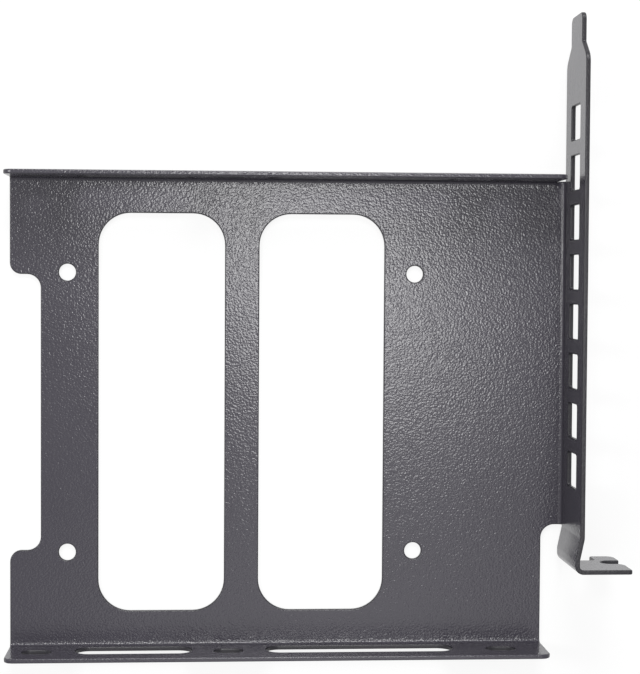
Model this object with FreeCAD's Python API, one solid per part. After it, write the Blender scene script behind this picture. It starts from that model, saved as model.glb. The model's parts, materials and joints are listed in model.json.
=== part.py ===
import FreeCAD, Part
import math
import os

# Drive bracket for one expansion slot of a computer case, folded from a single sheet of coated steel.
# A plate with two flanges carries the drive, and a slot strip with a tab and a foot fixes it in the case.
# Origin: middle of the four small-drive holes, on the underside of the plate.
# +X runs towards the slot strip, +Y along the strip to its tab, and +Z up from the plate. Millimetres.

Vector = FreeCAD.Vector

# Sheet
sheet = 1.0                      # thickness of the coated steel
fold_inside = 0.8                # inner radius of every right-angled fold

# Drives that the bracket carries
small_drive_hole_x = 76.6        # bottom holes of a 2.5 inch drive, along the drive
small_drive_hole_y = 61.72       # and across it
small_drive_hole_d = 3.7
large_drive_width = 101.6        # body of a 3.5 inch drive, which lies between the flanges
large_drive_side_gap = 0.7       # room beside that body, at each flange
large_drive_hole_height = 6.35   # its side holes, above its underside
large_drive_step_near = 41.61    # first to second side hole
large_drive_step_far = 59.99     # second to third side hole
large_drive_hole_length = 6.2    # obround, so that the drive can be shifted a little
large_drive_hole_width = 3.6

# Plate
plate_left_margin = 12.5         # left edge to the nearer small-drive holes
plate_right_margin = 33.5        # farther small-drive holes to the inner face of the strip
window_width = 27.7
window_height = 87.9
window_web = 7.6                 # bar between the two windows
window_corner = 7.0
left_notch_depth = 6.7
left_notch_height = 60.8
left_notch_mouth_r = 2.5
left_notch_inner_r = 3.0
right_notch_width = 4.6          # plate's lower right edge to the inner face of the strip
right_notch_r = 3.0

# Flanges
flange_height = 12.7             # above the plate's upper face
flange_corner = 2.0
corner_relief = 1.0              # end of the upper flange to the start of the strip's fold
corner_rise = 1.0                # plate beside that end, past the start of the flange's fold
first_side_hole_margin = 6.4     # left edge to the first side hole
flange_slot_width = 6.3
flange_slot_clearance = 1.2      # slot's lower edge above the end of the flange's fold
short_slot_length = 25.3
short_slot_middle = 27.4         # from the left edge
long_slot_length = 41.0
long_slot_middle = 76.8          # from the left edge

# Slot strip
strip_width = 18.42
strip_height = 120.02            # tip of the tab to the underside of the foot
strip_tip = 87.0                 # tip of the tab above the plate's middle
strip_rise = 0.4                 # free edge of the strip above the plate's upper face
tab_width = 10.19
tab_length = 6.3
tab_corner = 1.6
shoulder_length = 3.5            # taper from the tab to the full width
shoulder_corner = 3.0
vent_count = 8
vent_width = 8.2
vent_height = 7.5
vent_pitch = 10.8
vent_corner = 0.6
first_vent_below_tip = 23.1
jog_offset = 1.0                 # step of the strip towards the plate, above the foot
jog_angle = 12.0                 # degrees
jog_inside = 2.0                 # inner radius of both bends of the step

# Foot
foot_neck = 0.9                  # straight run between the step and the foot's fold
foot_reach = 11.43               # inner face of the strip to the end of the foot
foot_corner = 0.6
screw_notch_width = 3.8
screw_notch_depth = 4.6
screw_notch_middle = 8.7         # from the strip's lower edge
screw_notch_mouth_r = 2.0
ear_neck = 0.8                   # how much longer the ear beside the screw notch is than the notch
ear_setback = 1.1                # ear's edge, in from the strip's lower edge
ear_corner = 2.0
ear_small_corner = 0.6
foot_relief_width = 6.1          # cut between the strip and the ear, from the strip's lower edge
foot_relief_corner = 0.8

# Modelling tolerances
cut_margin = 1.0                 # how far a cutting shape runs past what it cuts
same_point = 1e-7                # points nearer than this are one point

# Places that follow from the sizes
fold_outside = fold_inside + sheet
plate_left = -small_drive_hole_x / 2 - plate_left_margin
strip_face = small_drive_hole_x / 2 + plate_right_margin
plate_right = strip_face - fold_inside
flange_face = large_drive_width / 2 + large_drive_side_gap
plate_edge = flange_face - fold_inside
corner_top = plate_edge + corner_rise
lower_flange_end = strip_face - right_notch_width
upper_flange_end = plate_right - corner_relief
fold_top = sheet + fold_inside
flange_top = sheet + flange_height
strip_low = sheet + strip_rise
strip_high = strip_low + strip_width
strip_middle = strip_low + strip_width / 2
foot_under = strip_tip - strip_height
foot_start = strip_face - jog_offset + fold_outside
foot_end = strip_face + foot_reach

# Step of the strip: two equal bends with a straight slope between them
jog_lean = math.radians(jog_angle)
jog_bends = 2 * jog_inside + sheet
jog_slope = (jog_offset - jog_bends * (1 - math.cos(jog_lean))) / math.sin(jog_lean)
jog_run = jog_bends * math.sin(jog_lean) + jog_slope * math.cos(jog_lean)
right_notch_top = foot_under + fold_outside + foot_neck + jog_run


# Planes: each turns two coordinates of a flat drawing into a point in space
def on_plate(a, b):
    return Vector(a, b, 0)


def on_flange(a, b):
    return Vector(a, 0, b)


def on_strip(a, b):
    return Vector(0, a, b)


def rounded_outline(corners, plane):
    """Closed wire through corners (a, b) or (a, b, radius), with a tangent arc at each rounded one.
    Two arcs that are too large for the side between them are both made smaller."""
    count = len(corners)
    points = [Vector(corner[0], corner[1], 0) for corner in corners]
    sides = [points[(i + 1) % count] - points[i] for i in range(count)]
    halves = [sides[i].getAngle(sides[i - 1] * -1) / 2 for i in range(count)]
    wanted = [(corners[i][2] if len(corners[i]) > 2 else 0.0) / math.tan(halves[i]) for i in range(count)]
    insets = list(wanted)
    for i in range(count):
        after = (i + 1) % count
        share = sides[i].Length / max(wanted[i] + wanted[after], sides[i].Length)
        insets[i] = min(insets[i], wanted[i] * share)
        insets[after] = min(insets[after], wanted[after] * share)
    edges = []
    for i in range(count):
        after = (i + 1) % count
        ahead = sides[i].normalize()
        begin = points[i] + ahead * insets[i]
        finish = points[after] - ahead * insets[after]
        if (finish - begin).Length > same_point:
            edges.append(Part.LineSegment(plane(begin.x, begin.y), plane(finish.x, finish.y)).toShape())
        if insets[after] > 0:
            onward = points[(after + 1) % count] - points[after]
            onward.normalize()
            leave = points[after] + onward * insets[after]
            inward = onward - ahead
            inward.normalize()
            half = halves[after]
            crown = points[after] + inward * insets[after] * (1 - math.sin(half)) / math.cos(half)
            arc = Part.Arc(plane(finish.x, finish.y), plane(crown.x, crown.y), plane(leave.x, leave.y))
            edges.append(arc.toShape())
    return Part.Wire(edges)


def rectangle(middle_a, middle_b, size_a, size_b, corner, plane):
    """Wire of a rectangle about its middle, with four equal corner radii."""
    a, b = size_a / 2, size_b / 2
    signs = ((-1, -1), (1, -1), (1, 1), (-1, 1))
    return rounded_outline([(middle_a + i * a, middle_b + j * b, corner) for i, j in signs], plane)


def disc(middle_a, middle_b, diameter, plane):
    """Wire of a full circle."""
    normal = (plane(1, 0) - plane(0, 0)).cross(plane(0, 1) - plane(0, 0))
    return Part.Wire(Part.makeCircle(diameter / 2, plane(middle_a, middle_b), normal))


def pierced(outer, holes, push):
    """Solid of a flat outline with holes, pushed along a vector."""
    solid = Part.Face(outer).extrude(push)
    if not holes:
        return solid
    return solid.cut([Part.Face(hole).extrude(push) for hole in holes])


def folded_section(start, heading, moves, plane):
    """Closed face of a sheet seen edge on. It starts with its right face at start and lies to the left
    of its heading in degrees. A move is a straight length, or a fold (angle, inner radius), left positive."""
    right, left = [], []
    angle = math.radians(heading)

    def forward(a):
        return Vector(math.cos(a), math.sin(a), 0)

    def leftward(a):
        return Vector(-math.sin(a), math.cos(a), 0)

    def line(edges, p, q):
        edges.append(Part.LineSegment(plane(p.x, p.y), plane(q.x, q.y)).toShape())

    def arc(edges, centre, p, q):
        middle = (p - centre) + (q - centre)
        middle.normalize()
        crown = centre + middle * (p - centre).Length
        edges.append(Part.Arc(plane(p.x, p.y), plane(crown.x, crown.y), plane(q.x, q.y)).toShape())

    point = Vector(start[0], start[1], 0)
    line(left, point, point + leftward(angle) * sheet)
    for move in moves:
        other = point + leftward(angle) * sheet
        if isinstance(move, tuple):
            turn, inside = math.radians(move[0]), move[1]
            reach = inside + sheet if turn > 0 else -inside
            centre = point + leftward(angle) * reach
            angle += turn
            following = centre - leftward(angle) * reach
            arc(right, centre, point, following)
            arc(left, centre, other, following + leftward(angle) * sheet)
        else:
            following = point + forward(angle) * move
            line(right, point, following)
            line(left, other, following + leftward(angle) * sheet)
        point = following
    line(right, point, point + leftward(angle) * sheet)
    return Part.Face(Part.Wire(Part.__sortEdges__(right + left)))


def plate_flat():
    """Flat of the plate between its folds, with the notches, the windows and the small-drive holes."""
    notch = left_notch_height / 2
    notch_end = plate_left + left_notch_depth
    outer = rounded_outline([
        (plate_left, -plate_edge),
        (lower_flange_end, -plate_edge),
        (lower_flange_end, right_notch_top, right_notch_r),
        (plate_right, right_notch_top),
        (plate_right, corner_top),
        (upper_flange_end, corner_top),
        (upper_flange_end, plate_edge),
        (plate_left, plate_edge),
        (plate_left, notch, left_notch_mouth_r),
        (notch_end, notch, left_notch_inner_r),
        (notch_end, -notch, left_notch_inner_r),
        (plate_left, -notch, left_notch_mouth_r),
    ], on_plate)
    openings = []
    for side in (-1, 1):
        middle = side * (window_web + window_width) / 2
        openings.append(rectangle(middle, 0, window_width, window_height, window_corner, on_plate))
        for end in (-1, 1):
            hole = (side * small_drive_hole_x / 2, end * small_drive_hole_y / 2)
            openings.append(disc(*hole, small_drive_hole_d, on_plate))
    return pierced(outer, openings, Vector(0, 0, sheet))


def flange(side, end):
    """One flange with its fold, on the side -1 or 1 of the plate, from the left edge to the given end."""
    outer = rounded_outline([
        (plate_left, fold_top),
        (end, fold_top),
        (end, flange_top, flange_corner),
        (plate_left, flange_top, flange_corner),
    ], on_flange)
    hole_height = sheet + large_drive_hole_height
    hole_size = (large_drive_hole_length, large_drive_hole_width, large_drive_hole_width / 2)
    slot_height = fold_top + flange_slot_clearance + flange_slot_width / 2
    openings = []
    along = plate_left + first_side_hole_margin
    for step in (0, large_drive_step_near, large_drive_step_far):
        along += step
        openings.append(rectangle(along, hole_height, *hole_size, on_flange))
    for middle, length in ((short_slot_middle, short_slot_length), (long_slot_middle, long_slot_length)):
        slot = (plate_left + middle, slot_height, length, flange_slot_width, flange_slot_width / 2)
        openings.append(rectangle(*slot, on_flange))
    flat = pierced(outer, openings, Vector(0, side * sheet, 0))
    flat.translate(Vector(0, side * flange_face, 0))

    def across(a, b):
        return Vector(plate_left, side * a, b)

    fold = folded_section((plate_edge, 0), 0, [(90, fold_inside)], across)
    return flat.fuse(fold.extrude(Vector(end - plate_left, 0, 0)))


def slot_fold():
    """Fold that joins the plate to the strip, from the lower right notch to the upper flange's relief."""
    def along(a, b):
        return Vector(a, right_notch_top, b)

    section = folded_section((plate_right, 0), 0, [(90, fold_inside)], along)
    return section.extrude(Vector(0, corner_top - right_notch_top, 0))


def strip():
    """Slot strip: the folded section with its step and foot fold, trimmed to the tab, shoulders and vents."""
    moves = [
        strip_tip - right_notch_top,
        (-jog_angle, jog_inside),
        jog_slope,
        (jog_angle, jog_inside),
        foot_neck,
        (90, fold_inside),
    ]
    section = folded_section((strip_face, strip_tip), -90, moves, on_plate)
    folded = section.extrude(Vector(0, 0, strip_high))

    tab_neck = strip_tip - tab_length
    shoulder = tab_neck - shoulder_length
    tab_low, tab_high = strip_middle - tab_width / 2, strip_middle + tab_width / 2
    outer = rounded_outline([
        (foot_under - cut_margin, strip_low),
        (right_notch_top, strip_low),
        (right_notch_top, fold_top),
        (corner_top, fold_top),
        (corner_top, strip_low),
        (shoulder, strip_low, shoulder_corner),
        (tab_neck, tab_low),
        (strip_tip, tab_low, tab_corner),
        (strip_tip, tab_high, tab_corner),
        (tab_neck, tab_high),
        (shoulder, strip_high, shoulder_corner),
        (foot_under - cut_margin, strip_high),
    ], on_strip)
    vents = []
    for i in range(vent_count):
        middle = strip_tip - first_vent_below_tip - i * vent_pitch
        vents.append(rectangle(middle, strip_middle, vent_height, vent_width, vent_corner, on_strip))
    depth = jog_offset + fold_outside + 2 * cut_margin
    blank = pierced(outer, vents, Vector(depth, 0, 0))
    blank.translate(Vector(strip_face - jog_offset - cut_margin, 0, 0))
    return folded.common(blank)


def foot():
    """Flat of the foot beyond its fold, with the open screw notch, the ear and the relief beside it."""
    notch_low = strip_low + screw_notch_middle - screw_notch_width / 2
    notch_high = notch_low + screw_notch_width
    notch_end = foot_end - screw_notch_depth
    ear_edge = strip_low + ear_setback
    ear_start = notch_end - ear_neck
    relief = strip_low + foot_relief_width
    outer = rounded_outline([
        (foot_start, strip_high),
        (foot_end, strip_high, foot_corner),
        (foot_end, notch_high, screw_notch_mouth_r),
        (notch_end, notch_high, screw_notch_width / 2),
        (notch_end, notch_low, screw_notch_width / 2),
        (foot_end, notch_low, ear_small_corner),
        (foot_end, ear_edge, ear_corner),
        (ear_start, ear_edge, ear_small_corner),
        (ear_start, relief, foot_relief_corner),
        (foot_start, relief),
    ], on_flange)
    flat = pierced(outer, [], Vector(0, sheet, 0))
    flat.translate(Vector(0, foot_under, 0))
    return flat


os.makedirs("parts", exist_ok=True)
pieces = [flange(-1, lower_flange_end), flange(1, upper_flange_end), slot_fold(), strip(), foot()]
bracket = plate_flat().fuse(pieces).removeSplitter()
if len(bracket.Solids) != 1 or not bracket.isValid():
    raise RuntimeError("the folded sheet isn't one valid solid")
drive_bracket = bracket.Solids[0]
drive_bracket.exportStep("parts/drive_bracket.step")
box = drive_bracket.BoundBox
print("drive_bracket volume", round(drive_bracket.Volume, 1), "faces", len(drive_bracket.Faces))
print("x", round(box.XMin, 3), round(box.XMax, 3), "y", round(box.YMin, 3), round(box.YMax, 3))
print("z", round(box.ZMin, 3), round(box.ZMax, 3))
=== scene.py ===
"""Looks of the slot drive bracket: one steel sheet, cut out flat as a blank, folded up and powder coated.

The blank is drawn in the plane (u, v), which is (X, Y) on the plate. Every fold then carries the points
beyond it to their place. Lengths are metres and angles degrees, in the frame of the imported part.
"""
import json

import bpy
import numpy as np
from mathutils import Matrix, Quaternion, Vector
from mathutils.geometry import delaunay_2d_cdt


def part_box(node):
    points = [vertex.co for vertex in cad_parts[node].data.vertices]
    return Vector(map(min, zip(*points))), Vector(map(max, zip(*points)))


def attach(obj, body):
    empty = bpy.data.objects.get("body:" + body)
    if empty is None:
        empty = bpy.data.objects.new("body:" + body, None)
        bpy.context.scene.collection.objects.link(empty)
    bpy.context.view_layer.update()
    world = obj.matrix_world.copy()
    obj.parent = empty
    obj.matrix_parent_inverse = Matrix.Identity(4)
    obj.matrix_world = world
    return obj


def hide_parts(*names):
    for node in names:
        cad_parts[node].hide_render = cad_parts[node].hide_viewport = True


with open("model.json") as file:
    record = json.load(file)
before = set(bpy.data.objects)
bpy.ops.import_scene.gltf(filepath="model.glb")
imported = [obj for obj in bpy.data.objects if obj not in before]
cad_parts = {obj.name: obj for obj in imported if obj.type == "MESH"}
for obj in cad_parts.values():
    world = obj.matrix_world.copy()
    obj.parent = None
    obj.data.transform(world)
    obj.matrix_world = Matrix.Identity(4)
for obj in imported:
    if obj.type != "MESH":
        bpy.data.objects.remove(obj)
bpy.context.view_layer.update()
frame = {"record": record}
mounts = {mount["name"]: mount for mount in frame["record"]["mounts"]}
low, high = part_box("drive_bracket")
MM = 0.001

# Sheet
sheet = 0.0010
fold_inside = 0.0008             # inner radius of every right-angled fold
edge_round = 0.00028             # radius that the coat leaves along every cut edge
least_corner = 0.0004            # radius of a corner of the blank that is cut sharp

# Plate
window_width, window_height, window_corner = 0.0277, 0.0879, 0.0070
window_web = 0.0076              # bar between the two windows
left_notch_depth, left_notch_height = 0.0067, 0.0608
left_notch_mouth, left_notch_inner = 0.0025, 0.0030
right_notch_width, right_notch_round = 0.0046, 0.0030

# Flanges
flange_height, flange_corner = 0.0127, 0.0020
corner_relief = 0.0010           # end of the upper flange to the start of the strip's fold
corner_rise = 0.0010             # plate beside that end, past the start of the flange's fold
corner_ease = 0.0006             # length over which the plate there turns flat again
flange_slot_width = 0.0063
flange_slot_clearance = 0.0012   # slot's lower edge above the end of the flange's fold
flange_slots = ((0.0274, 0.0253), (0.0768, 0.0410))   # middle from the plate's left edge, and length

# Slot strip
strip_width = 0.01842
tab_width, tab_corner = 0.01019, 0.0016
shoulder_length, shoulder_round = 0.0035, 0.0030
vent_count, vent_pitch, first_vent_below_tip = 8, 0.0108, 0.0231
vent_width, vent_height, vent_corner = 0.0082, 0.0075, 0.0006
jog_offset, jog_inside = 0.0010, 0.0020
jog_angle = np.radians(12.0)

# Foot
foot_neck = 0.0009               # straight run between the step and the foot's fold
foot_corner = 0.0006
notch_mouth = 0.0020
ear_neck, ear_setback, ear_corner, ear_small_corner = 0.0008, 0.0011, 0.0020, 0.0006
foot_relief_width, foot_relief_corner = 0.0061, 0.0008

# Places that follow from the frame
plate_left, foot_end = low.x, high.x
strip_tip, strip_high = high.y, high.z
flange_face = -low.y - sheet
plate_edge = flange_face - fold_inside
corner_top = plate_edge + corner_rise
strip_face = mounts["strip_outer_face"]["pos_m"][0] - sheet
plate_right = strip_face - fold_inside
foot_under = mounts["foot_seat"]["pos_m"][1] - sheet
strip_low = strip_high - strip_width
strip_middle = (strip_low + strip_high) / 2
tab_length = mounts["slot_tab"]["dims"]["length_mm"] * MM
notch_middle = mounts["foot_screw_notch"]["pos_m"][2]
notch_half = mounts["foot_screw_notch"]["dims"]["hole_r_mm"] * MM
notch_depth = mounts["foot_screw_notch"]["dims"]["slot_length_mm"] * MM
lower_flange_end = strip_face - right_notch_width
upper_flange_end = plate_right - corner_relief
fold_top = sheet + fold_inside
foot_start = strip_face - jog_offset + fold_inside + sheet

# Lengths along the middle of the sheet, which folding leaves as they are
quarter = np.pi / 2
fold_run = quarter * (fold_inside + sheet / 2)
jog_bend = jog_angle * (jog_inside + sheet / 2)
jog_bends = 2 * jog_inside + sheet
jog_slope = (jog_offset - jog_bends * (1 - np.cos(jog_angle))) / np.sin(jog_angle)
jog_drop = jog_bends * np.sin(jog_angle) + jog_slope * np.cos(jog_angle)
right_notch_top = foot_under + fold_inside + sheet + foot_neck + jog_drop
foot_blank = right_notch_top - 2 * jog_bend - jog_slope - foot_neck - fold_run
onwards = (1.0, 0)               # straight run that goes on past the sheet's end

# How finely the blank is drawn
arc_points = 13                  # on each rounded corner
same_place = 1e-7                # points of an outline that are closer than this are one
rim_step = 0.0003                # along the outer edge, which crosses the folds
round_points = 4                 # across the rounding of an edge
fold_rows, row_step = 9, 0.003   # rows of points across a fold, and their spacing along it
jog_rows = 3                     # rows across each small bend of the strip's step
row_margin = 0.0006              # gap between those rows and the sheet's edges
strip_row_gap = 0.0016           # the same at the upper end of the strip's fold
coat_reach = 0.0008              # how far beside a flange's fold its thicker coat runs out


def blank_u(z):
    """Place across the blank of height z on the strip."""
    return plate_right + fold_run + z - fold_top


def blank_v(z):
    """Place up the blank of height z on the upper flange."""
    return plate_edge + fold_run + z - fold_top


def foot_v(x):
    """Place up the blank of a point of the foot's flat."""
    return foot_blank - (x - foot_start)


def rounded(corners):
    """Closed outline through corners (u, v, radius), each cut off by the arc that touches both its sides.
    The arc's middle lies radius / sin(half the corner's angle) along the line that halves the corner."""
    corners = np.array(corners)
    point, radius = corners[:, :2], np.maximum(corners[:, 2], least_corner)
    back, ahead = np.roll(point, 1, 0) - point, np.roll(point, -1, 0) - point
    back /= np.linalg.norm(back, axis=1)[:, None]
    ahead /= np.linalg.norm(ahead, axis=1)[:, None]
    half = np.arccos((back * ahead).sum(1)) / 2
    middle = (back + ahead) / np.linalg.norm(back + ahead, axis=1)[:, None]
    centre = point + middle * (radius / np.sin(half))[:, None]
    start = point + back * (radius / np.tan(half))[:, None] - centre
    turn = np.sign(ahead[:, 0] * back[:, 1] - ahead[:, 1] * back[:, 0]) * (np.pi - 2 * half)
    angle = np.arctan2(start[:, 1], start[:, 0])[:, None] + turn[:, None] * np.linspace(0, 1, arc_points)
    arcs = centre[:, None] + radius[:, None, None] * np.stack([np.cos(angle), np.sin(angle)], 2)
    outline = arcs.reshape(-1, 2)
    apart = np.linalg.norm(np.roll(outline, -1, 0) - outline, axis=1)
    return outline[apart > same_place]


def window(middle_u, middle_v, size_u, size_v, corner):
    """Outline of an opening about its middle, clockwise, so that the sheet lies on its left."""
    u, v = size_u / 2, size_v / 2
    signs = ((-1, -1), (-1, 1), (1, 1), (1, -1))
    return rounded([(middle_u + i * u, middle_v + j * v, corner) for i, j in signs])


def hole(middle_u, middle_v, radius):
    """Outline of a round hole, as a square opening whose corners are rounded until they meet."""
    return window(middle_u, middle_v, 2 * radius, 2 * radius, radius)


def stepped(outline, step):
    """The outline with points added along its sides, so that no side is longer than step."""
    side = np.roll(outline, -1, 0) - outline
    count = np.ceil(np.linalg.norm(side, axis=1) / step).astype(int)
    owner = np.repeat(np.arange(len(outline)), count)
    share = (np.arange(len(owner)) - np.repeat(np.cumsum(count) - count, count)) / count[owner]
    return outline[owner] + side[owner] * share[:, None]


def blank_edge():
    """Outer edge of the blank, anticlockwise from the lower flange's left corner."""
    flange_end = blank_v(sheet + flange_height)
    notch = left_notch_height / 2
    notch_inner = plate_left + left_notch_depth
    tab_neck = strip_tip - tab_length
    shoulder = tab_neck - shoulder_length
    near, far = blank_u(strip_low), blank_u(strip_high)
    tab_near, tab_far = blank_u(strip_middle - tab_width / 2), blank_u(strip_middle + tab_width / 2)
    relief, ear = blank_u(strip_low + foot_relief_width), blank_u(strip_low + ear_setback)
    screw_near, screw_far = blank_u(notch_middle - notch_half), blank_u(notch_middle + notch_half)
    foot_tip, screw_end = foot_v(foot_end), foot_v(foot_end - notch_depth)
    ear_start = screw_end + ear_neck
    return stepped(rounded([
        (plate_left, -flange_end, flange_corner),
        (lower_flange_end, -flange_end, flange_corner),
        (lower_flange_end, right_notch_top, right_notch_round),
        (near, right_notch_top, 0),
        (near, foot_blank, 0),
        (relief, foot_blank, 0),
        (relief, ear_start, foot_relief_corner),
        (ear, ear_start, ear_small_corner),
        (ear, foot_tip, ear_corner),
        (screw_near, foot_tip, ear_small_corner),
        (screw_near, screw_end, notch_half),
        (screw_far, screw_end, notch_half),
        (screw_far, foot_tip, notch_mouth),
        (far, foot_tip, foot_corner),
        (far, shoulder, shoulder_round),
        (tab_far, tab_neck, 0),
        (tab_far, strip_tip, tab_corner),
        (tab_near, strip_tip, tab_corner),
        (tab_near, tab_neck, 0),
        (near, shoulder, shoulder_round),
        (near, corner_top, 0),
        (upper_flange_end, corner_top, 0),
        (upper_flange_end, flange_end, flange_corner),
        (plate_left, flange_end, flange_corner),
        (plate_left, notch, left_notch_mouth),
        (notch_inner, notch, left_notch_inner),
        (notch_inner, -notch, left_notch_inner),
        (plate_left, -notch, left_notch_mouth),
    ]), rim_step)


def blank_openings():
    """Outlines of the windows, the drive holes, the flanges' slots and the strip's vents."""
    outlines = []
    small = mounts["small_drive_holes"]["dims"]
    for side in (-1, 1):
        middle = side * (window_web + window_width) / 2
        outlines.append(window(middle, 0, window_width, window_height, window_corner))
        for end in (-1, 1):
            place = (side * small["spacing_x_mm"] * MM / 2, end * small["spacing_y_mm"] * MM / 2)
            outlines.append(hole(*place, small["hole_r_mm"] * MM))
    wide, near = mounts["upper_side_holes_wide"], mounts["upper_side_holes_near"]
    reach = wide["dims"]["spacing_x_mm"] * MM / 2
    first, third = wide["pos_m"][0] - reach, wide["pos_m"][0] + reach
    second = near["pos_m"][0] + near["dims"]["spacing_x_mm"] * MM / 2
    radius = wide["dims"]["hole_r_mm"] * MM
    hole_size = (wide["dims"]["slot_length_mm"] * MM, 2 * radius, radius)
    slot_v = blank_v(fold_top + flange_slot_clearance + flange_slot_width / 2)
    for side in (-1, 1):
        for along in (first, second, third):
            outlines.append(window(along, side * blank_v(wide["pos_m"][2]), *hole_size))
        for middle, length in flange_slots:
            size = (length, flange_slot_width, flange_slot_width / 2)
            outlines.append(window(plate_left + middle, side * slot_v, *size))
    for i in range(vent_count):
        along = strip_tip - first_vent_below_tip - i * vent_pitch
        outlines.append(window(blank_u(strip_middle), along, vent_width, vent_height, vent_corner))
    return outlines


def carried(along, offset, moves):
    """Place after a distance along a path that starts at the origin and heads along +p, and an offset to its
    left. A move (length, turn) is a straight run, or an arc of that length about a middle that lies
    length / turn to the left. The last move goes on without end."""
    p, q, heading, gone = 0.0, 0.0, 0.0, 0.0
    place_p, place_q = along, offset
    for length, turn in moves:
        onward = along - gone
        if turn:
            radius = length / turn
            middle_p, middle_q = p - radius * np.sin(heading), q + radius * np.cos(heading)
            angle = heading + onward / radius
            new_p = middle_p + (radius - offset) * np.sin(angle)
            new_q = middle_q - (radius - offset) * np.cos(angle)
            heading += turn
            p, q = middle_p + radius * np.sin(heading), middle_q - radius * np.cos(heading)
        else:
            new_p = p + onward * np.cos(heading) - offset * np.sin(heading)
            new_q = q + onward * np.sin(heading) + offset * np.cos(heading)
            p, q = p + length * np.cos(heading), q + length * np.sin(heading)
        place_p = np.where(onward >= 0, new_p, place_p)
        place_q = np.where(onward >= 0, new_q, place_q)
        gone += length
    return place_p, place_q


def eased(share):
    """Smooth rise from nought to one, 3 s^2 - 2 s^3, flat at both ends."""
    share = np.clip(share, 0, 1)
    return share * share * (3 - 2 * share)


def folded(blank):
    """Place in space of blank points (u, v, d), where d is the height above the middle of the sheet.
    The flanges and the strip each follow a straight run, a quarter turn and another straight run. Above the
    plate's corner and below the top of its right notch, the strip is flat right to its rear edge. Its lower
    end also follows two small opposite turns, its step, and the quarter turn of the foot. The plate's corner
    beside the upper flange's end is drawn up a little by that flange's fold."""
    u, v, d = blank.T
    flange_y, flange_z = carried(np.abs(v), d, [(plate_edge, 0), (fold_run, quarter), onwards])
    corner_flat = eased((u - upper_flange_end) / corner_ease) * (v > 0)
    flange_y += (np.abs(v) - flange_y) * corner_flat
    flange_z += (d - flange_z) * corner_flat
    strip_x, strip_z = carried(u, d, [(plate_right, 0), (fold_run, quarter), onwards])
    free = eased(np.maximum(v - corner_top, right_notch_top - v) / sheet)
    strip_x += (strip_face + sheet / 2 - d - strip_x) * free
    strip_z += (u - blank_u(0) - sheet / 2 - strip_z) * free
    step = [(jog_bend, -jog_angle), (jog_slope, 0), (jog_bend, jog_angle)]
    foot = [(foot_neck, 0), (fold_run, quarter), onwards]
    down, out = carried(right_notch_top - v, strip_x - strip_face - sheet / 2, step + foot)
    on_flange = (np.abs(v) > plate_edge) & (u < plate_right)
    on_strip = u > plate_right
    on_foot = on_strip & (v < right_notch_top)
    x = np.where(on_strip, strip_x, u)
    x = np.where(on_foot, strip_face + sheet / 2 + out, x)
    y = np.where(on_flange, np.sign(v) * flange_y, v)
    y = np.where(on_foot, right_notch_top - down, y)
    z = np.where(on_flange, flange_z, np.where(on_strip, strip_z, d))
    return np.stack([x, y, z + sheet / 2], 1)


def outward(outline):
    """Step that moves both sides at each point of an outline outwards by one. The sheet lies on the left, so
    it is the sum of the two right-hand normals, over one plus their dot product."""
    side = np.roll(outline, -1, 0) - outline
    side /= np.linalg.norm(side, axis=1)[:, None]
    right = np.stack([side[:, 1], -side[:, 0]], 1)
    before = np.roll(right, 1, 0)
    return (right + before) / (1 + (right * before).sum(1))[:, None]


def edge_profile():
    """Points across a coated edge, from the upper face to the lower one, as rows of inset, height above the
    sheet's middle, and normal (outwards, up): a quarter circle, the straight wall and a second quarter
    circle."""
    angle = np.linspace(0, quarter, round_points)
    out, up = np.sin(angle), np.cos(angle)
    upper = np.stack([edge_round * (1 - out), sheet / 2 - edge_round * (1 - up), out, up], 1)
    return np.concatenate([upper, upper[::-1] * (1, -1, 1, -1)])


def fold_lines():
    """Straight rows of points over every fold and beside the flanges' folds, and the pairs of neighbours in a
    row. The last two rows of the foot's fold would run into its relief, so one that starts past the relief
    stands in for them."""
    share = np.linspace(0, 1, fold_rows)
    lines = []
    for side, end in ((-1, lower_flange_end), (1, upper_flange_end)):
        left, right = plate_left + row_margin, end - row_margin
        for v in side * np.append(plate_edge + fold_run * share, plate_edge - coat_reach):
            lines.append(((left, v), (right, v)))
    for u in plate_right + fold_run * share:
        lines.append(((u, right_notch_top + row_margin), (u, corner_top - strip_row_gap)))
    bend = jog_bend * np.linspace(0, 1, jog_rows)
    second_bend = jog_bend + jog_slope
    foot_fold = second_bend + jog_bend + foot_neck
    left, right = blank_u(strip_low) + row_margin, blank_u(strip_high) - row_margin
    for down in np.concatenate([bend, second_bend + bend, foot_fold + fold_run * share[:-2]]):
        lines.append(((left, right_notch_top - down), (right, right_notch_top - down)))
    past_relief = blank_u(strip_low + foot_relief_width) + row_margin
    lines.append(((past_relief, foot_blank), (right, foot_blank)))
    points, pairs, count = [], [], 0
    for start, end in np.array(lines):
        steps = int(np.ceil(np.linalg.norm(end - start) / row_step))
        points.append(start + (end - start) * np.linspace(0, 1, steps + 1)[:, None])
        pairs.append(count + np.stack([np.arange(steps), np.arange(steps) + 1], 1))
        count += steps + 1
    return np.concatenate(points), np.concatenate(pairs)


def folded_normals(blank, normal):
    """Normals of the blank carried through the folds. With a, b and c the slopes of the folded place along u,
    v and d, a normal (nu, nv, nd) becomes nu (b x c) + nv (c x a) + nd (a x b), made one long."""
    reach = 1e-7
    a, b, c = [(folded(blank + step) - folded(blank - step)) / (2 * reach) for step in np.eye(3) * reach]
    nu, nv, nd = normal.T[:, :, None]
    turned = nu * np.cross(b, c) + nv * np.cross(c, a) + nd * np.cross(a, b)
    return turned / np.linalg.norm(turned, axis=1)[:, None]


def fold_coat(blank):
    """How much thicker the coat is in the flanges' folds: one on a fold, falling to nought beside it."""
    u, v = blank[:, 0], np.abs(blank[:, 1])
    gap = np.maximum(plate_edge - v, v - plate_edge - fold_run)
    return np.clip(1 - gap / coat_reach, 0, 1) * (u < plate_right)


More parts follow.
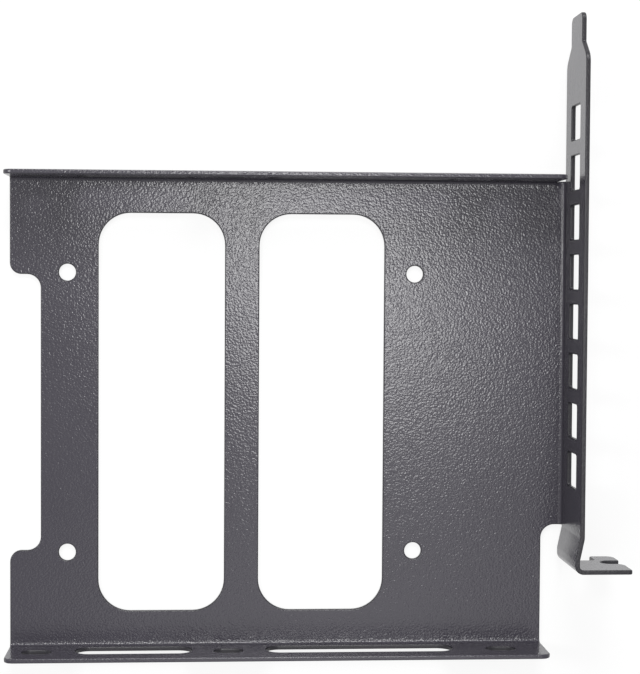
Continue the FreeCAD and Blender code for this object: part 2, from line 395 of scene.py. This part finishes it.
def blank_triangles(flat, borders, ends):
    """Triangles that fill a face of the blank within its borders. The outlines come first among the points,
    each up to its end, the outer edge before the openings. A triangle with all its corners on one opening's
    outline lies in that opening and is left out."""
    inside_borders, same_point = 1, 1e-6
    filled = delaunay_2d_cdt((flat / MM).tolist(), borders.tolist(), [], inside_borders, same_point)
    if len(filled[0]) != len(flat):
        raise RuntimeError("an outline of the blank crosses a fold line or another outline")
    triangles = np.array(filled[2])
    outline_of = np.searchsorted(ends, np.arange(len(flat)), "right")[triangles]
    first = outline_of[:, 0]
    opening = (np.ptp(outline_of, axis=1) == 0) & (first > 0) & (first < len(ends))
    return triangles[~opening]


def bracket_sheet():
    """The whole sheet: the blank's two faces, filled with triangles between the edges' roundings and the fold
    lines, and the edge profile carried along every outline. Then every point goes through the folds."""
    outlines = [blank_edge()] + blank_openings()
    rim, mitre = np.concatenate(outlines), np.concatenate([outward(outline) for outline in outlines])
    count = len(rim)
    onward = np.arange(count) + 1
    ends = np.cumsum([len(outline) for outline in outlines])
    onward[ends - 1] = np.concatenate([[0], ends[:-1]])
    rows, pairs = fold_lines()
    flat = np.concatenate([rim - mitre * edge_round, rows])
    borders = np.concatenate([np.stack([np.arange(count), onward], 1), pairs + count])
    triangles = blank_triangles(flat, borders, ends)

    profile = edge_profile()
    out = mitre / np.linalg.norm(mitre, axis=1)[:, None]
    blank, normal = [], []
    for side in (1, -1):
        blank.append(np.column_stack([flat, np.full(len(flat), side * sheet / 2)]))
        normal.append(np.tile((0.0, 0.0, side), (len(flat), 1)))
    for inset, height, outwards, up in profile[1:-1]:
        blank.append(np.column_stack([rim - mitre * inset, np.full(count, height)]))
        normal.append(np.column_stack([out * outwards, np.full(count, up)]))
    blank, normal = np.concatenate(blank), np.concatenate(normal)

    first_ring = 2 * len(flat)
    rings = [np.arange(count)]
    rings += [first_ring + i * count + np.arange(count) for i in range(len(profile) - 2)]
    rings.append(len(flat) + np.arange(count))
    quads = [np.stack([b, b[onward], a[onward], a], 1) for a, b in zip(rings, rings[1:])]
    faces = triangles.tolist() + (triangles[:, ::-1] + len(flat)).tolist() + np.concatenate(quads).tolist()

    mesh = bpy.data.meshes.new("bracket_sheet")
    mesh.from_pydata(folded(blank).tolist(), [], faces)
    mesh.polygons.foreach_set("use_smooth", np.ones(len(faces), bool))
    mesh.normals_split_custom_set_from_vertices(folded_normals(blank, normal).tolist())
    # Painted shade: every cut edge except the flanges' front edges is marked for a darker coat colour,
    # standing in for the dark surroundings those edges reflect; the same mark makes them rougher
    on_ring = np.arange(len(blank)) >= first_ring
    flange_front = (np.abs(blank[:, 1]) > blank_v(flange_height)) & (blank[:, 0] < plate_right)
    dull_edge = on_ring & ~flange_front
    for name, value in (("dull_edge", dull_edge), ("fold_coat", fold_coat(blank))):
        mesh.attributes.new(name, "FLOAT", "POINT").data.foreach_set("value", value.astype(np.float32))
    piece = bpy.data.objects.new("bracket_sheet", mesh)
    bpy.context.scene.collection.objects.link(piece)
    return piece


# Powder coat
coat_colour, cloud_colour = (0.037, 0.034, 0.044, 1), (0.043, 0.040, 0.051, 1)
coat_roughness, roughness_spread = 0.20, 0.03
coat_shine = 0.46
# The edge colour is painted shade on the cut edges; the dulling adds roughness there
painted_edge_shade_colour, edge_dulling = (0.014, 0.013, 0.017, 1), 0.16
cloud_scale, cloud_detail = 60, 2
grain_scale, grain_detail, grain_depth = 2600, 0.5, 0.000046
fold_grain = 0.8                 # how much deeper the grain is in the flanges' folds


def calculated(tree, operation, *values):
    """Result of a Math node whose inputs are numbers or other nodes' results."""
    node = tree.nodes.new("ShaderNodeMath")
    node.operation = operation
    for socket, value in zip(node.inputs, values):
        if isinstance(value, bpy.types.NodeSocket):
            tree.links.new(value, socket)
        else:
            socket.default_value = value
    return node.outputs[0]


def powder_coat():
    """Dark grey powder coat: a fine pebbled skin that shines a little, with faint clouds of colour. It is
    duller on the cut edges, which also get a darker colour as painted shade, and more grained in the flanges'
    folds."""
    material = bpy.data.materials.new("powder_coat")
    material.use_nodes = True
    tree = material.node_tree
    nodes, links = tree.nodes, tree.links
    shader = nodes["Principled BSDF"]
    place = nodes.new("ShaderNodeTexCoord").outputs["Object"]

    def noise(scale, detail):
        texture = nodes.new("ShaderNodeTexNoise")
        texture.inputs["Scale"].default_value = scale
        texture.inputs["Detail"].default_value = detail
        links.new(place, texture.inputs["Vector"])
        return texture.outputs["Fac"]

    def attribute(name):
        node = nodes.new("ShaderNodeAttribute")
        node.attribute_name = name
        return node.outputs["Fac"]

    clouds, grain = noise(cloud_scale, cloud_detail), noise(grain_scale, grain_detail)
    edge, pooled = attribute("dull_edge"), attribute("fold_coat")
    clouded, edged = nodes.new("ShaderNodeMix"), nodes.new("ShaderNodeMix")
    clouded.data_type = edged.data_type = "RGBA"
    clouded.inputs["A"].default_value, clouded.inputs["B"].default_value = coat_colour, cloud_colour
    # Painted shade: the darker edge colour is mixed in on the marked cut edges
    edged.inputs["B"].default_value = painted_edge_shade_colour
    links.new(clouds, clouded.inputs["Factor"])
    links.new(clouded.outputs["Result"], edged.inputs["A"])
    links.new(edge, edged.inputs["Factor"])
    links.new(edged.outputs["Result"], shader.inputs["Base Color"])

    gloss = nodes.new("ShaderNodeMapRange")
    gloss.inputs["To Min"].default_value = coat_roughness - roughness_spread
    gloss.inputs["To Max"].default_value = coat_roughness + roughness_spread
    links.new(grain, gloss.inputs["Value"])
    dulled = calculated(tree, "MULTIPLY_ADD", edge, edge_dulling, gloss.outputs["Result"])
    links.new(dulled, shader.inputs["Roughness"])
    shader.inputs["Specular IOR Level"].default_value = coat_shine

    deepening = calculated(tree, "MULTIPLY_ADD", pooled, fold_grain, 1.0)
    bump = nodes.new("ShaderNodeBump")
    bump.inputs["Strength"].default_value = 1.0
    bump.inputs["Distance"].default_value = grain_depth
    links.new(calculated(tree, "MULTIPLY", grain, deepening), bump.inputs["Height"])
    links.new(bump.outputs["Normal"], shader.inputs["Normal"])
    return material


# Stage
white = (1, 1, 1, 1)
floor_size = 12.0
floor_colour = (0.80, 0.80, 0.80, 1)
floor_white_share = 0.82         # part of the floor that shows plain white, the rest keeps the shadow
world_level = 0.55
lamps = {                        # place, point it is aimed at, sides, watts and turn
    "key": ((0.053, 0.036, 0.60), (0.053, 0.036, 0.0), (0.18, 0.06), 0.78, -38),
    "near": ((0.070, -0.26, 0.62), (0.02, -0.03, 0.0), (0.30, 0.30), 0.34, 0),
    "far": ((0.03, 0.52, 0.38), (0.0, -0.05, 0.0), (0.28, 0.28), 3.2, 0),
    "left": ((-0.40, 0.07, 0.50), (0.05, 0.0, 0.0), (0.14, 0.30), 1.3, 0),
}

# Camera, fitted to the photo with the part's sizes
camera_place = (-0.00713, 0.02990, 0.35100)
camera_turn = (-2.135, -3.500, 0.336)   # pitch, yaw and roll
camera_lens, camera_shift = 84.65, 0.020


def seen_directly(tree):
    """One for what the camera sees, also in a reflection or through glass, and nought for other light."""
    path = tree.nodes.new("ShaderNodeLightPath")
    seen = path.outputs["Is Camera Ray"]
    for name in ("Is Glossy Ray", "Is Transmission Ray"):
        seen = calculated(tree, "MAXIMUM", seen, path.outputs[name])
    return seen


def white_floor():
    """Flat pale floor under the object, with plain white mixed in where it is seen directly."""
    half = floor_size / 2
    corners = [(-half, -half, 0), (half, -half, 0), (half, half, 0), (-half, half, 0)]
    mesh = bpy.data.meshes.new("floor")
    mesh.from_pydata(corners, [], [(0, 1, 2, 3)])
    floor = bpy.data.objects.new("floor", mesh)
    bpy.context.scene.collection.objects.link(floor)
    material = bpy.data.materials.new("floor_white")
    material.use_nodes = True
    tree = material.node_tree
    nodes, links = tree.nodes, tree.links
    nodes.clear()
    matt, plain = nodes.new("ShaderNodeBsdfDiffuse"), nodes.new("ShaderNodeEmission")
    matt.inputs["Color"].default_value = floor_colour
    plain.inputs["Color"].default_value = white
    mix, output = nodes.new("ShaderNodeMixShader"), nodes.new("ShaderNodeOutputMaterial")
    links.new(calculated(tree, "MULTIPLY", seen_directly(tree), floor_white_share), mix.inputs[0])
    links.new(matt.outputs[0], mix.inputs[1])
    links.new(plain.outputs[0], mix.inputs[2])
    links.new(mix.outputs[0], output.inputs["Surface"])
    mesh.materials.append(material)


def studio_world():
    """Even pale surroundings."""
    world = bpy.data.worlds.new("studio")
    bpy.context.scene.world = world
    world.use_nodes = True
    background = world.node_tree.nodes["Background"]
    background.inputs["Color"].default_value = white
    background.inputs["Strength"].default_value = world_level


def softbox(name, place, aim, sides, watts, turn):
    """Area lamp at a place, pointed at another and turned by an angle about the line between them."""
    lamp = bpy.data.lights.new(name, "AREA")
    lamp.shape, lamp.energy = "RECTANGLE", watts
    lamp.size, lamp.size_y = sides
    box = bpy.data.objects.new(name, lamp)
    box.location = place
    pointed = (Vector(aim) - Vector(place)).to_track_quat("-Z", "Y")
    box.rotation_euler = (pointed @ Quaternion((0, 0, 1), np.radians(turn))).to_euler()
    bpy.context.scene.collection.objects.link(box)


def camera():
    """Camera that looks down on the plate, as the photo does."""
    data = bpy.data.cameras.new("camera")
    data.lens, data.shift_x = camera_lens, camera_shift
    pitch, yaw, roll = np.radians(camera_turn)
    turn = Matrix.Rotation(yaw, 4, "Y") @ Matrix.Rotation(pitch, 4, "X") @ Matrix.Rotation(roll, 4, "Z")
    viewer = bpy.data.objects.new("camera", data)
    viewer.matrix_world = Matrix.Translation(camera_place) @ turn
    bpy.context.scene.collection.objects.link(viewer)
    bpy.context.scene.camera = viewer


bracket = bracket_sheet()
bracket.data.materials.append(powder_coat())
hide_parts("drive_bracket")
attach(bracket, "root")

white_floor()
studio_world()
for name, values in lamps.items():
    softbox(name, *values)
camera()
bpy.context.scene.view_settings.view_transform = "Standard"
